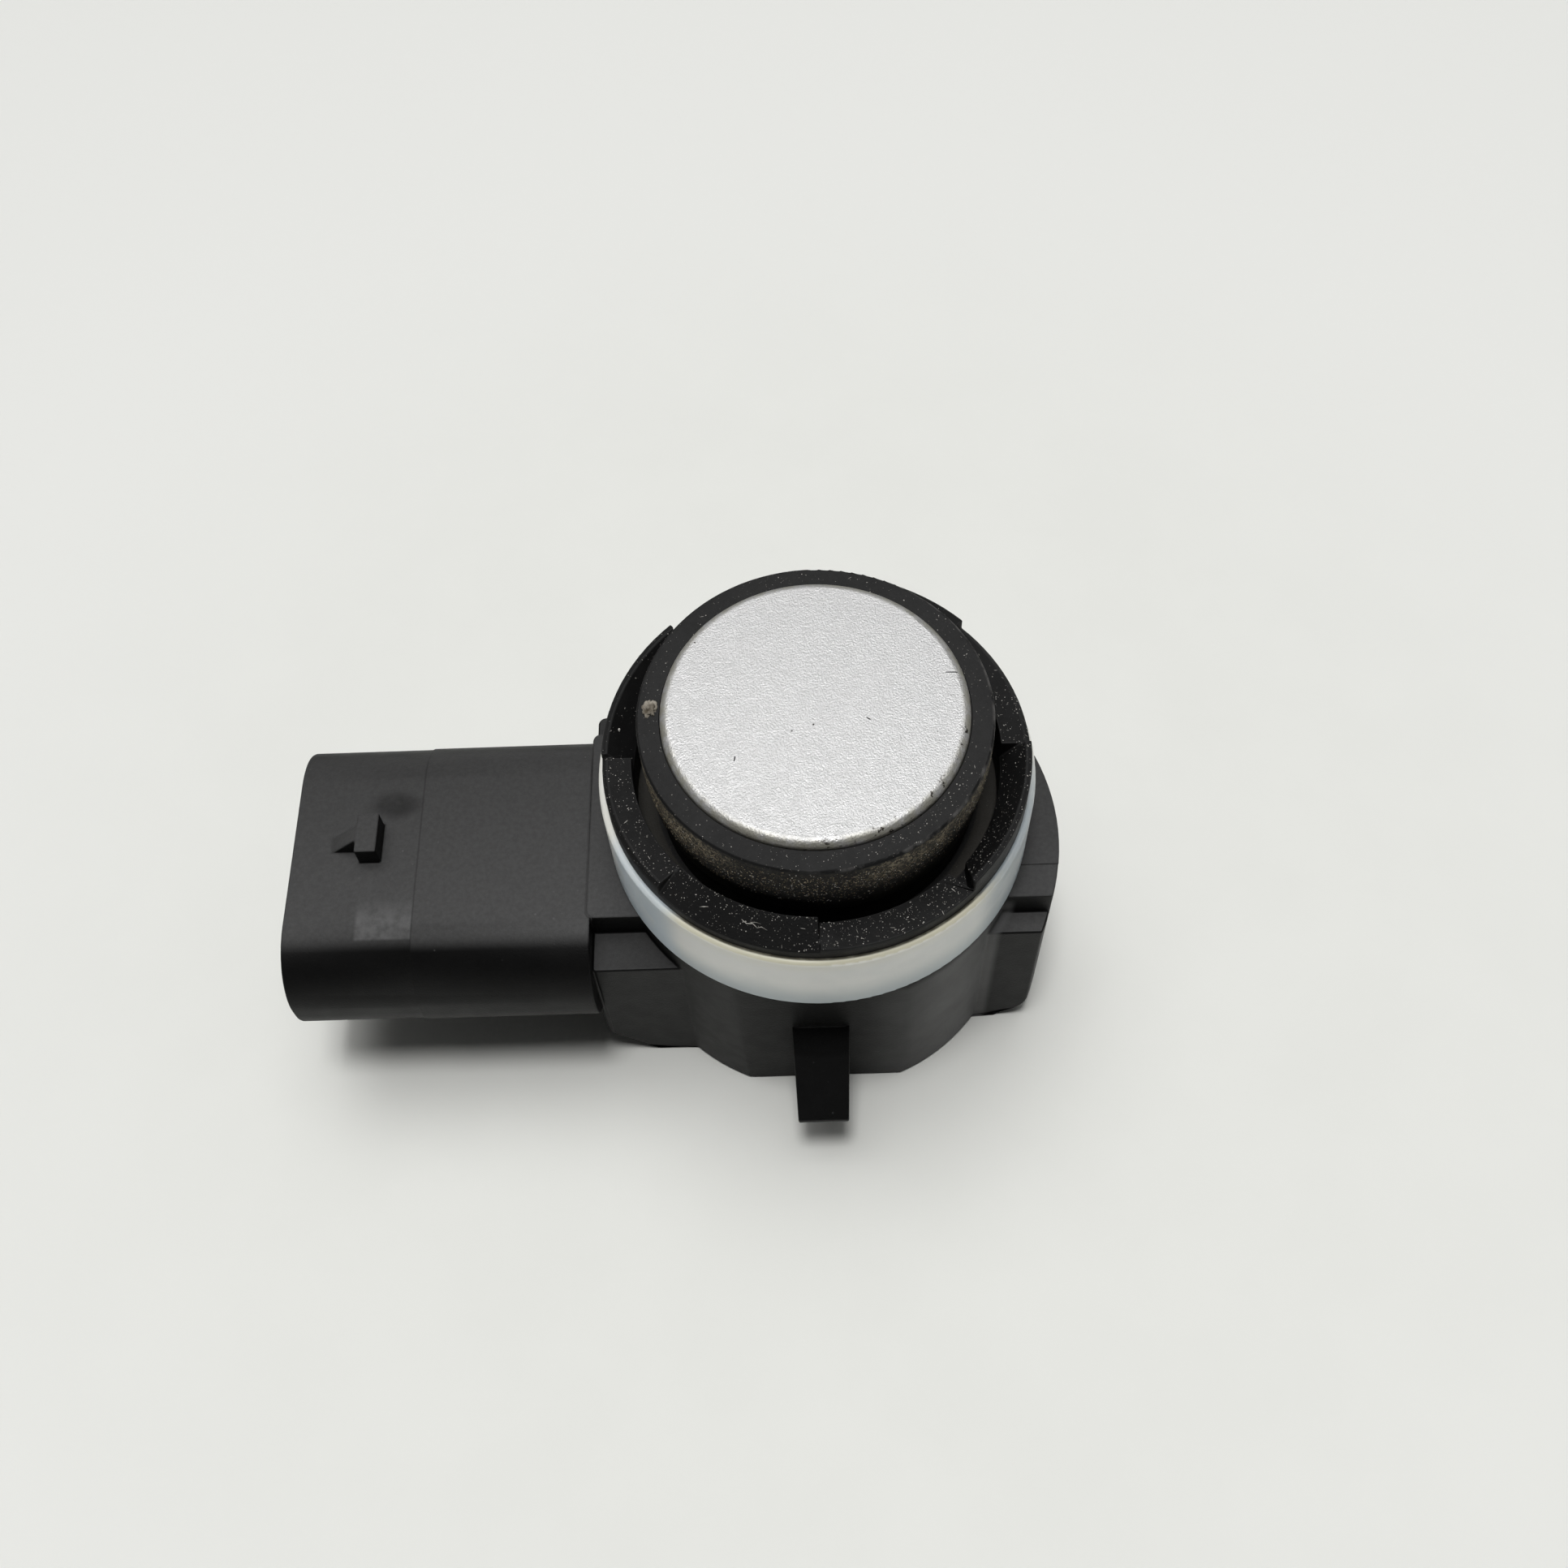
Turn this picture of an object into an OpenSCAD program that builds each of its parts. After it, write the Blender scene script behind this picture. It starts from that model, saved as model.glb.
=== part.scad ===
// Ultrasonic parking sensor for a car bumper, standing on its rear face with the sensing face up.
// The head's axis is +Z, the plug socket points along -X and the latch wedge along -Y. Millimetres.

/* [Sensing face] */
// Diameter of the painted face
face_d = 15.6; // [14.6:0.1:16.2]
// Height of the face above the rubber collar
face_lift = 0.5; // [0.2:0.1:0.8]
// Thickness of the face's rim
face_rim = 1.2; // [0.9:0.1:1.5]
// Thickness of the sounding membrane
membrane_t = 0.7; // [0.5:0.1:0.9]
// Outer diameter of the cup behind the face
cup_d = 14; // [13:0.1:14.2]
// Thickness of the cup's side wall
cup_wall = 1.2; // [0.8:0.1:1.6]
// Rounding of the face's edge
face_round = 0.45; // [0.2:0.05:0.6]

/* [Rubber collar] */
// Diameter of the collar that fills the hole in the bumper
collar_d = 18; // [17.2:0.1:18.4]
// Height of the collar's straight rim
collar_h = 1.95; // [1.2:0.05:2.4]
// Height of the tapered wall under the rim
taper_h = 2.65; // [2:0.05:2.8]
// How much smaller the taper's foot is in radius
taper_in = 0.3; // [0.2:0.05:0.5]
// Gap between the collar's wall, without its taper, and the crown ring's bore
collar_gap = 0.6; // [0.4:0.05:0.8]
// Depth of the groove under the tapered wall
collar_neck = 0.6; // [0.3:0.1:0.8]
// Height of the collar's top above the crown ring's lower edge
collar_rise = 5.1; // [4.6:0.1:6]
// Thickness of the flange at the collar's foot
foot_t = 1.4; // [1:0.1:1.8]
// Inner diameter of the lip under the cup
lip_d = 10.4; // [9.6:0.1:10.8]

/* [Crown ring] */
// How far the crown ring's outer edge stays inside the seal ring's
crown_inset = 0.35; // [0.2:0.05:0.5]
// Width of the crown ring's ledges, from its outer edge to its bore
crown_w = 1.55; // [1.45:0.05:1.7]
// Height of the high ledges
high_h = 1.45; // [1.2:0.05:1.7]
// Chamfer on the high ledges' outer edge
high_cut = 0.25; // [0.1:0.05:0.4]
// Height of the raised ledge at the back
raised_h = 1.9; // [1.6:0.05:2.2]
// Height of the low ledges
low_h = 0.95; // [0.7:0.05:1.2]
// Height of the sloping ledge at the front on its inside
slope_in = 1.6; // [1.3:0.05:1.9]
// Height of the sloping ledge at the front on its outside
slope_out = 0.65; // [0.4:0.05:0.9]
// Height of the dished ledges' rim
rim_h = 1.75; // [1.4:0.05:1.9]
// Thickness of the dished ledges' rim
rim_t = 0.3; // [0.2:0.05:0.5]
// Height of the dished ledges on the inside
dish_h = 0.1; // [0:0.05:0.4]
// Depth that the ring sinks into the seal ring
crown_sink = 1; // [0.8:0.1:1.4]
// Floor left under the notches
notch_floor = 0.5; // [0.4:0.1:0.7]
// Opening of a notch at the bore
notch_w = 1.3; // [1:0.1:1.6]
// Angle where the raised ledge begins, after the high ledge at 0
raised_from = 43; // [35:1:50]
// Angle where the raised ledge ends in a step
raised_to = 89; // [80:1:95]
// Angle of the notch between a low ledge and a dished one
notch_at = 133; // [124:1:138]

/* [Seal ring] */
// Outer diameter of the translucent seal ring
seal_d = 23; // [22.8:0.1:23.4]
// Height of the seal ring
seal_h = 5; // [4.5:0.1:6]
// Thickness of the seal ring
seal_t = 0.75; // [0.65:0.05:0.8]
// Rounding of the seal ring's edges
seal_round = 0.25; // [0.15:0.05:0.3]

/* [Housing] */
// Diameter of the lower body
body_d = 22.6; // [22.2:0.1:23]
// Height of the lower body
body_h = 13.3; // [12.6:0.1:14.5]
// Distance from the axis to the flat on the front
flat_y = 10.4; // [10:0.1:10.8]
// Thickness of the body's wall
wall = 1.4; // [1.1:0.1:1.6]
// Thickness of the neck inside the seal ring
neck_t = 0.75; // [0.6:0.05:0.85]
// Height of the deck's top above the shoulder
deck_rise = 1.5; // [1:0.1:2]
// Thickness of the deck that carries the head
deck_t = 2; // [1.5:0.1:2.5]
// Width of the step that the circuit board seats on
board_step = 1.2; // [0.8:0.1:1.6]
// Rounding of the body's rear edge
rear_round = 0.3; // [0.2:0.1:0.6]

/* [Latch wings] */
// Height from the top of the wings down to the latch ledges
ledge_drop = 1.9; // [1.5:0.1:2.4]
// Offset of both wings' middle towards the front
wing_y = 0.3; // [0:0.1:0.6]
// Distance from the axis to the left wing's outer face
left_reach = 12.6; // [12.2:0.1:13]
// Half width of the left wing's top
left_half = 5.8; // [5.3:0.1:6.3]
// Half width of the left wing at its ledges
left_foot = 8.1; // [7.6:0.1:8.6]
// Size of the cut on the left wing's lower corner
left_cut = 2.8; // [1.5:0.1:3.6]
// Rounding of the left wing's outer corners
left_round = 0.45; // [0.2:0.05:0.8]
// Radius of the right wing's outer edge
right_reach = 13.1; // [12.6:0.1:13.6]
// Half width of the right wing's top
right_half = 5.3; // [4.8:0.1:5.7]
// Half width of the right wing at its ledges
right_foot = 6.6; // [6.1:0.1:7.1]
// Half width of the right wing's raised middle
right_pad = 3.4; // [2.9:0.1:4.1]
// Height of the right wing's raised middle
pad_step = 0.1; // [0.05:0.05:0.3]
// Rounding of the right wing's lower edge
right_round = 2.4; // [0.8:0.1:3]

/* [Latch wedge] */
// Width of the wedge where it leaves the body
wedge_w = 2.6; // [2.2:0.1:3]
// Offset of the wedge's middle to the left
wedge_x = 0.2; // [0:0.05:0.4]
// Width lost on each side towards the tip
wedge_taper = 0.15; // [0.05:0.05:0.3]
// Length of the wedge
wedge_l = 4.35; // [3.4:0.05:4.8]
// Height of the wedge's flat underside above the rear face
wedge_z = 4.3; // [3:0.1:5]
// Height of the wedge at the body
wedge_h = 3.3; // [2.6:0.1:4]
// Height of the wedge's tip
wedge_tip = 0.35; // [0.2:0.05:0.6]

/* [Plug socket] */
// Width of the shroud
shroud_w = 16; // [14:0.1:17]
// Height of the shroud
shroud_h = 7.8; // [7:0.1:8.4]
// Radius of the shroud's corners
shroud_r = 3.6; // [2:0.1:3.8]
// Thickness of the shroud's wall
shroud_wall = 1.1; // [0.9:0.1:1.3]
// Distance from the axis to the mouth
mouth_x = 29; // [27:0.1:31]
// Offset of the shroud's middle towards the front
shroud_y = 1.5; // [1:0.1:2]
// Depth of the shroud's top below the wings
shroud_sink = 0.1; // [0.05:0.05:0.3]
// Depth of the socket
socket_depth = 10; // [9:0.1:12]
// Length of the slimmer sleeve at the mouth
sleeve_l = 7; // [5:0.1:8]
// Step between the sleeve and the root
sleeve_step = 0.06; // [0.04:0.02:0.2]
// Width of the two keying ribs on the socket's floor
key_w = 0.9; // [0.6:0.1:1.2]
// Height of the keying ribs
key_h = 0.5; // [0.3:0.1:0.6]
// Spacing of the keying ribs
key_pitch = 6; // [5:0.1:7]
// Distance from the mouth to the keying ribs
key_from = 1.2; // [0.8:0.1:2]

/* [Locking nose] */
// Distance from the mouth to the nose's ramp
nose_from = 1.9; // [1.5:0.1:3]
// Length of the ramp
ramp_l = 1.9; // [1.5:0.1:2.3]
// Width of the ramp
ramp_w = 1; // [0.8:0.1:1.4]
// Length of the locking bar
bar_l = 1.2; // [0.5:0.05:1.4]
// Width of the locking bar
bar_w = 2.4; // [2:0.1:2.8]
// Height of the nose
nose_h = 1.4; // [0.8:0.1:1.6]
// Offset of the nose's middle towards the front
nose_y = 1.1; // [0.6:0.1:1.6]

/* [Terminals] */
// Thickness of the square terminals and contact pins
pin_t = 0.64; // [0.5:0.02:0.8]
// Spacing of the terminals
pin_pitch = 3.2; // [2.6:0.1:3.8]
// Length of the terminals in the socket
pin_l = 5.4; // [4.6:0.1:5.4]
// Distance from the axis to the terminals' bend
bend_x = 6; // [5.4:0.1:6.4]
// Length of a soldered end below the board
tail_l = 0.9; // [0.5:0.1:1.3]

/* [Electronics] */
// Height of the circuit board's underside above the rear face
board_z = 5.5; // [5:0.1:5.8]
// Thickness of the circuit board
board_t = 1; // [0.8:0.1:1.2]
// Thickness of the rear cover's plate
cover_t = 1.4; // [1.1:0.1:1.8]
// Length and width of the driver chip's body
chip_size = 4.4; // [4:0.1:4.8]
// Height of the driver chip
chip_h = 1.2; // [1:0.1:1.5]
// Side of the transformer
trafo_size = 5.6; // [5:0.1:6.2]
// Height of the transformer
trafo_h = 3.2; // [2.6:0.1:3.4]
// Diameter of the storage capacitor
can_d = 4; // [3.6:0.1:4.4]
// Height of the storage capacitor
can_h = 4.6; // [4:0.1:5]

/* [Transducer] */
// Diameter of the piezo disc
piezo_d = 7; // [6:0.1:8]
// Thickness of the piezo disc
piezo_t = 0.4; // [0.3:0.05:0.6]
// Thickness of the damping pad
pad_t = 2.4; // [1.6:0.1:2.6]
// Thickness of the contact carrier
carrier_t = 1.7; // [1.4:0.1:2]
// Distance from the axis to each contact pin
contact_x = 1.5; // [1.2:0.1:2]
// Length of the contact pins above the carrier
contact_up = 0.7; // [0.5:0.1:0.9]
// Diameter of the piezo's lead wires
lead_d = 0.36; // [0.3:0.02:0.44]

/* [Fits] */
// Clearance round pieces that are pushed into each other
fit = 0.05; // [0.03:0.01:0.08]

/* [Hidden] */
$fn = 96;

// Far more than any size here, for cuts that run right through
big = 100;
// Overlap that lets touching shapes of one piece merge
weld = 0.2;

// Heights from the rear face upwards
ledge_z = body_h - ledge_drop;
deck_z = body_h + deck_rise;
crown_z = body_h + seal_h;
neck_top = crown_z - crown_sink;
cup_z = deck_z + foot_t;
collar_z = crown_z + collar_rise;
face_z = collar_z + face_lift;
board_top = board_z + board_t;
carrier_top = cup_z + carrier_t;
membrane_z = face_z - membrane_t;
piezo_z = membrane_z - piezo_t;

// Radii from the axis outwards
body_r = body_d / 2;
seal_bore = seal_d / 2 - seal_t;
neck_r = seal_bore - fit;
neck_bore = neck_r - neck_t;
collar_r = collar_d / 2;
crown_r = seal_d / 2 - crown_inset;
crown_bore = crown_r - crown_w;
wall_r = crown_bore - collar_gap;
taper_r = wall_r - taper_in;
collar_waist = wall_r - collar_neck;
cup_r = cup_d / 2;
cup_bore = cup_r - cup_wall;
cavity_r = body_r - wall;
cavity_flat = flat_y - wall;

// Plug socket
shroud_z = body_h - shroud_sink - shroud_h / 2;
sleeve_x = -mouth_x + sleeve_l;
socket_x = -mouth_x + socket_depth;
nose_x = -mouth_x + nose_from;
nose_z = shroud_z + shroud_h / 2 - sleeve_step;
terminal_y = [for (i = [-1:1]) i * pin_pitch - shroud_y];

// Places of the electronic parts on the board, [x, y]
chip_at = [3.2, -3.4];
trafo_at = [1.2, -4.5];
can_at = [3.4, 4];
capacitor_size = [1.6, 0.8, 0.8];
capacitor_pitch = 1.6;
capacitor_count = 4;
capacitors_at = [-3.4, -6.7];
resistor_size = [1, 0.5, 0.35];
resistor_pitch = 1.2;
resistor_count = 5;
resistors_at = [-4.2, 4.2];

plastic = "#26272a";
rubber = "#1b1b1c";

// Rectangle with round corners, from its lower left corner
module soft_square(size, r) {
    translate([r, 0]) square([size[0] - 2 * r, size[1]]);
    translate([0, r]) square([size[0], size[1] - 2 * r]);
    for (x = [r, size[0] - r], y = [r, size[1] - r])
        translate([x, y]) circle(r);
}

// Disc with a flat on its front
module d_disc(r, flat) {
    intersection() {
        circle(r);
        translate([-r, -flat]) square([2 * r, flat + r]);
    }
}

// Ring of rectangular section
module ring(r_out, r_in, z_low, z_high) {
    translate([0, 0, z_low])
        difference() {
            cylinder(r = r_out, h = z_high - z_low);
            translate([0, 0, -weld]) cylinder(r = r_in, h = z_high - z_low + 2 * weld);
        }
}

// Extrusion along -X of an outline given as [y, z]
module along_x(x_low, x_high) {
    translate([x_low, 0, 0])
        rotate([90, 0, 90])
            linear_extrude(x_high - x_low) children();
}

// Outline of the shroud, grown or shrunk by a margin
module shroud_outline(margin) {
    translate([-shroud_y - shroud_w / 2 - margin, shroud_z - shroud_h / 2 - margin])
        soft_square([shroud_w + 2 * margin, shroud_h + 2 * margin], shroud_r + margin);
}

// Lower body with its rounded rear edge and the flat on its front
module lower_body() {
    intersection() {
        rotate_extrude() {
            translate([0, rear_round]) square([body_r, body_h - rear_round]);
            square([body_r - rear_round, body_h]);
            translate([body_r - rear_round, rear_round]) circle(rear_round);
        }
        linear_extrude(body_h) d_disc(body_r, flat_y);
    }
}

// Left wing, which also carries the shroud
module left_wing() {
    difference() {
        union() {
            translate([-left_reach, -left_foot - wing_y, 0])
                linear_extrude(ledge_z) soft_square([left_reach, 2 * left_foot], left_round);
            translate([-left_reach, -left_half - wing_y, 0])
                linear_extrude(body_h) soft_square([left_reach, 2 * left_half], left_round);
        }
        translate([-left_reach, 0, 0])
            rotate([0, 45, 0])
                cube([left_cut * sqrt(2), big, left_cut * sqrt(2)], center = true);
    }
}

// Right wing: a sector with a round outer edge, a raised middle and a ledge on each side
module right_wing() {
    intersection() {
        translate([0, -shroud_y, 0])
            rotate_extrude() {
                translate([0, right_round]) square([right_reach, body_h - right_round]);
                square([right_reach - right_round, body_h]);
                translate([right_reach - right_round, right_round]) circle(right_round);
            }
        union() {
            translate([0, -right_foot - wing_y, 0]) cube([big, 2 * right_foot, ledge_z]);
            translate([0, -right_half - wing_y, 0]) cube([big, 2 * right_half, body_h - pad_step]);
            translate([0, -right_pad - wing_y, 0]) cube([big, 2 * right_pad, body_h]);
        }
    }
}

// Wedge that snaps behind the holder: a ramp on top and a flat underside
module latch_wedge() {
    root = -flat_y + weld;
    tip = -flat_y - wedge_l;
    translate([-wedge_x, 0, 0])
        intersection() {
            along_x(-wedge_w, wedge_w)
                polygon([[root, wedge_z], [tip, wedge_z], [tip, wedge_z + wedge_tip],
                         [-flat_y, wedge_z + wedge_h], [root, wedge_z + wedge_h]]);
            linear_extrude(body_h)
                polygon([[-wedge_w / 2, root], [wedge_w / 2, root],
                         [wedge_w / 2 - wedge_taper, tip], [-wedge_w / 2 + wedge_taper, tip]]);
        }
}

// Locking nose on top of the sleeve: a narrow ramp that runs up to a cross bar
module locking_nose() {
    bar_x = nose_x + ramp_l;
    translate([0, ramp_w / 2 - nose_y, nose_z])
        rotate([90, 0, 0])
            linear_extrude(ramp_w)
                polygon([[nose_x, -weld], [bar_x + weld, -weld], [bar_x + weld, nose_h], [bar_x, nose_h]]);
    translate([bar_x, -bar_w / 2 - nose_y, nose_z - weld]) cube([bar_l, bar_w, nose_h + weld]);
}

// Rib along the socket's floor that keeps a wrong plug out
module keying_rib(y) {
    floor_z = shroud_z - shroud_h / 2 + sleeve_step + shroud_wall;
    translate([-mouth_x + key_from, y - key_w / 2, floor_z - weld])
        cube([socket_depth - key_from + weld, key_w, key_h + weld]);
}

// Square way through the housing for one terminal
module terminal_way(y) {
    side = pin_t + 2 * fit;
    translate([socket_x - weld, y - side / 2, shroud_z - side / 2]) cube([-socket_x, side, side]);
}

module housing() {
    color(plastic) {
        difference() {
            union() {
                lower_body();
                left_wing();
                right_wing();
                latch_wedge();
                ring(neck_r, neck_bore, body_h - weld, neck_top);
                translate([0, 0, body_h - weld]) cylinder(r = neck_r, h = deck_rise + weld);
                along_x(-mouth_x, -left_reach + weld) shroud_outline(-sleeve_step);
                along_x(sleeve_x, -left_reach + weld) shroud_outline(0);
                locking_nose();
            }
            along_x(-mouth_x - weld, socket_x) shroud_outline(-sleeve_step - shroud_wall);
            translate([0, 0, -weld]) linear_extrude(board_top + weld) d_disc(cavity_r, cavity_flat);
            linear_extrude(deck_z - deck_t) d_disc(cavity_r - board_step, cavity_flat - board_step);
            cylinder(r = lip_d / 2, h = big);
            for (y = terminal_y) terminal_way(y);
        }
        for (side = [-1, 1]) keying_rib(side * key_pitch / 2 - shroud_y);
    }
}

// Lid that closes the rear and holds the circuit board against its step
module rear_cover() {
    lid_r = cavity_r - fit;
    lid_flat = cavity_flat - fit;
    color(plastic)
        difference() {
            linear_extrude(board_z) d_disc(lid_r, lid_flat);
            translate([0, 0, cover_t])
                linear_extrude(board_z) d_disc(lid_r - board_step, lid_flat - board_step);
        }
}

// Milky ring that centres the head in its holder and seals it
module seal_ring() {
    color("#c9cdca")
        rotate_extrude()
            translate([seal_bore, body_h]) soft_square([seal_t, seal_h], seal_round);
}

// Space above one ledge of the crown ring between two angles; the ledge's top is given as
// [radius, height] from the outside in
module above_ledge(from, to, top) {
    in_r = top[len(top) - 1][0];
    out_r = top[0][0];
    high = raised_h + weld;
    rotate([0, 0, from])
        rotate_extrude(angle = to - from)
            translate([0, crown_z]) polygon(concat(top, [[in_r, high], [out_r, high]]));
}

// Ring that holds the collar down: its ledges change twice round, high, raised or sloping, low and dished
module crown_ring() {
    floor_z = neck_top + notch_floor;
    top_z = crown_z + raised_h;
    in_r = crown_bore - weld;
    out_r = crown_r + weld;
    slope = (slope_in - slope_out) / crown_w;
    dish = (rim_h - dish_h) / (crown_w - rim_t);
    // Angle by which the cuts of neighbouring ledges overlap
    lap = 0.3;
    color(plastic)
        difference() {
            rotate([0, 0, raised_from / 2])
                rotate_extrude()
                    polygon([[crown_bore, cup_z], [neck_bore - fit, cup_z], [neck_bore - fit, neck_top],
                             [neck_r, neck_top], [neck_r, crown_z], [crown_r, crown_z], [crown_r, top_z],
                             [crown_bore, top_z]]);
            for (turn = [0, 180]) {
                above_ledge(turn, turn + raised_from + (turn == 0 ? 0 : lap),
                            [[out_r, high_h - high_cut - weld], [crown_r - high_cut, high_h],
                             [in_r, high_h]]);
                above_ledge(turn + raised_to, turn + notch_at + lap, [[out_r, low_h], [in_r, low_h]]);
                above_ledge(turn + notch_at, turn + 180 + lap,
                            [[out_r, rim_h], [crown_r - rim_t, rim_h], [in_r, dish_h - weld * dish]]);
                rotate([0, 0, turn + notch_at])
                    translate([0, 0, floor_z])
                        linear_extrude(big)
                            polygon([[crown_r - rim_t / 2, 0], [in_r, notch_w], [in_r, -weld]]);
            }
            above_ledge(180 + raised_from, 180 + raised_to + lap,
                        [[out_r, slope_out - weld * slope], [in_r, slope_in + weld * slope]]);
        }
}

// Rubber collar that holds the cup and keeps its sound out of the housing
module decoupling_ring() {
    rim_round = 0.15;
    cup_way = cup_r + fit;
    face_way = face_d / 2 + fit;
    color(rubber)
        rotate_extrude()
            difference() {
                union() {
                    translate([lip_d / 2, deck_z]) square([neck_bore - fit - lip_d / 2, foot_t]);
                    translate([lip_d / 2, deck_z])
                        square([collar_waist - lip_d / 2, collar_z - deck_z - collar_h]);
                    translate([cup_r, collar_z - collar_h])
                        polygon([[0, -taper_h], [taper_r - cup_r, -taper_h], [collar_r - cup_r, 0], [0, 0]]);
                    translate([cup_r, collar_z - collar_h - rim_round])
                        soft_square([collar_r - cup_r, collar_h + rim_round], rim_round);
                }
                translate([0, cup_z]) square([cup_way, big]);
                translate([0, face_z - face_rim]) square([face_way, big]);
            }
}

// Aluminium cup with the painted face
module transducer_cup() {
    face_r = face_d / 2;
    color("#d5d6d4")
        rotate_extrude()
            difference() {
                union() {
                    translate([0, cup_z]) square([cup_r, face_z - face_rim - cup_z + weld]);
                    translate([0, face_z - face_rim]) square([face_r, face_rim - face_round]);
                    translate([0, face_z - face_rim]) square([face_r - face_round, face_rim]);
                    translate([face_r - face_round, face_z - face_round]) circle(face_round);
                }
                translate([0, cup_z - weld]) square([cup_bore, membrane_z - cup_z + weld]);
            }
}

module piezo_disc() {
    color("#b9a66b") translate([0, 0, piezo_z]) cylinder(d = piezo_d, h = piezo_t);
}

// Soft pad behind the piezo, with a way for its lead
module damping_pad() {
    color("#d8d2c4")
        translate([0, 0, piezo_z - pad_t])
            difference() {
                cylinder(r = cup_bore - fit, h = pad_t);
                translate([-contact_x, 0, -weld]) cylinder(d = lead_d + 2 * fit, h = pad_t + 2 * weld);
            }
}

// Lead from the first contact pin to the piezo
module piezo_lead() {
    z_low = carrier_top + contact_up;
    color("#b5462f")
        translate([-contact_x, 0, z_low]) cylinder(d = lead_d, h = piezo_z - z_low);
}

// Lead from the second contact pin to the cup's wall
module ground_lead() {
    z_low = carrier_top + contact_up;
    color("#202020") {
        translate([contact_x, 0, z_low]) cylinder(d = lead_d, h = lead_d);
        translate([contact_x, 0, z_low + lead_d / 2])
            rotate([0, 90, 0]) cylinder(d = lead_d, h = cup_bore - contact_x - fit);
    }
}

// Plug that closes the cup and carries the contact pins
module contact_carrier() {
    side = pin_t + 2 * fit;
    color("#e4dfd2")
        difference() {
            translate([0, 0, cup_z]) cylinder(r = cup_bore - fit, h = carrier_t);
            for (x = [-contact_x, contact_x])
                translate([x - side / 2, -side / 2, 0]) cube([side, side, big]);
        }
}

// Square pin from the board up through the carrier
module contact_pin(x) {
    z_low = board_z - tail_l;
    color("#c9b26a")
        translate([x - pin_t / 2, -pin_t / 2, z_low])
            cube([pin_t, pin_t, carrier_top + contact_up - z_low]);
}

module contact_pin_1() {
    contact_pin(-contact_x);
}

module contact_pin_2() {
    contact_pin(contact_x);
}

// Board with holes for the terminals and the contact pins
module circuit_board() {
    side = pin_t + 2 * fit;
    holes = concat([for (y = terminal_y) [-bend_x, y]], [[-contact_x, 0], [contact_x, 0]]);
    color("#1f5b39")
        difference() {
            translate([0, 0, board_z]) linear_extrude(board_t) d_disc(cavity_r - fit, cavity_flat - fit);
            for (p = holes)
                translate([p[0] - side / 2, p[1] - side / 2, 0]) cube([side, side, big]);
        }
}

// Driver chip with four legs on each side
module driver_chip() {
    leg = [0.9, 0.4, 0.15];
    leg_pitch = 1;
    color("#2a2a2c")
        translate([chip_at[0], chip_at[1], board_top]) {
            translate([-chip_size / 2, -chip_size / 2, leg[2] / 2])
                cube([chip_size, chip_size, chip_h - leg[2] / 2]);
            for (side = [-1, 1], i = [-1.5:1.5])
                translate([side * chip_size / 2 - leg[0] / 2, i * leg_pitch - leg[1] / 2, 0]) cube(leg);
        }
}

// Transformer under the board: two plates with the winding between them
module transformer() {
    plate_t = 0.7;
    winding_d = trafo_size - 1.1;
    color("#3a3532")
        translate([trafo_at[0], trafo_at[1], board_z - trafo_h]) {
            for (z = [0, trafo_h - plate_t])
                translate([-trafo_size / 2, -trafo_size / 2, z]) cube([trafo_size, trafo_size, plate_t]);
            cylinder(d = winding_d, h = trafo_h);
        }
}

module storage_capacitor() {
    base_h = 0.5;
    color("#9da2a6")
        translate([can_at[0], can_at[1], board_top]) {
            translate([-can_d / 2, -can_d / 2, 0]) cube([can_d, can_d, base_h]);
            cylinder(d = can_d - 2 * fit, h = can_h);
        }
}

// Row of small blocks along X on top of the board
module block_row(size, pitch, count, at) {
    for (i = [0:count - 1])
        translate([at[0] + i * pitch, at[1], board_top])
            translate([-size[1] / 2, -size[0] / 2, 0]) cube([size[1], size[0], size[2]]);
}

module chip_capacitors() {
    color("#b08d62") block_row(capacitor_size, capacitor_pitch, capacitor_count, capacitors_at);
}

module chip_resistors() {
    color("#2c2f33") block_row(resistor_size, resistor_pitch, resistor_count, resistors_at);
}

// Terminal from the socket through the housing and down into the board
module terminal(y) {
    tip_x = socket_x - pin_l;
    z_low = board_z - tail_l;
    color("#c7c9cb") {
        translate([tip_x, y - pin_t / 2, shroud_z - pin_t / 2])
            cube([-bend_x + pin_t / 2 - tip_x, pin_t, pin_t]);
        translate([-bend_x - pin_t / 2, y - pin_t / 2, z_low])
            cube([pin_t, pin_t, shroud_z + pin_t / 2 - z_low]);
    }
}

module terminal_1() {
    terminal(terminal_y[0]);
}

module terminal_2() {
    terminal(terminal_y[1]);
}

module terminal_3() {
    terminal(terminal_y[2]);
}

housing();
rear_cover();
seal_ring();
crown_ring();
decoupling_ring();
transducer_cup();
piezo_disc();
damping_pad();
piezo_lead();
ground_lead();
contact_carrier();
contact_pin_1();
contact_pin_2();
circuit_board();
driver_chip();
transformer();
storage_capacitor();
chip_capacitors();
chip_resistors();
terminal_1();
terminal_2();
terminal_3();
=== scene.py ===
"""Looks of a bumper parking sensor that stands on its rear face, with the sensing face up."""
import math
import random

import bmesh
import bpy
from mathutils import Matrix, Vector
from mathutils.bvhtree import BVHTree
from mathutils.noise import noise as hills


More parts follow.
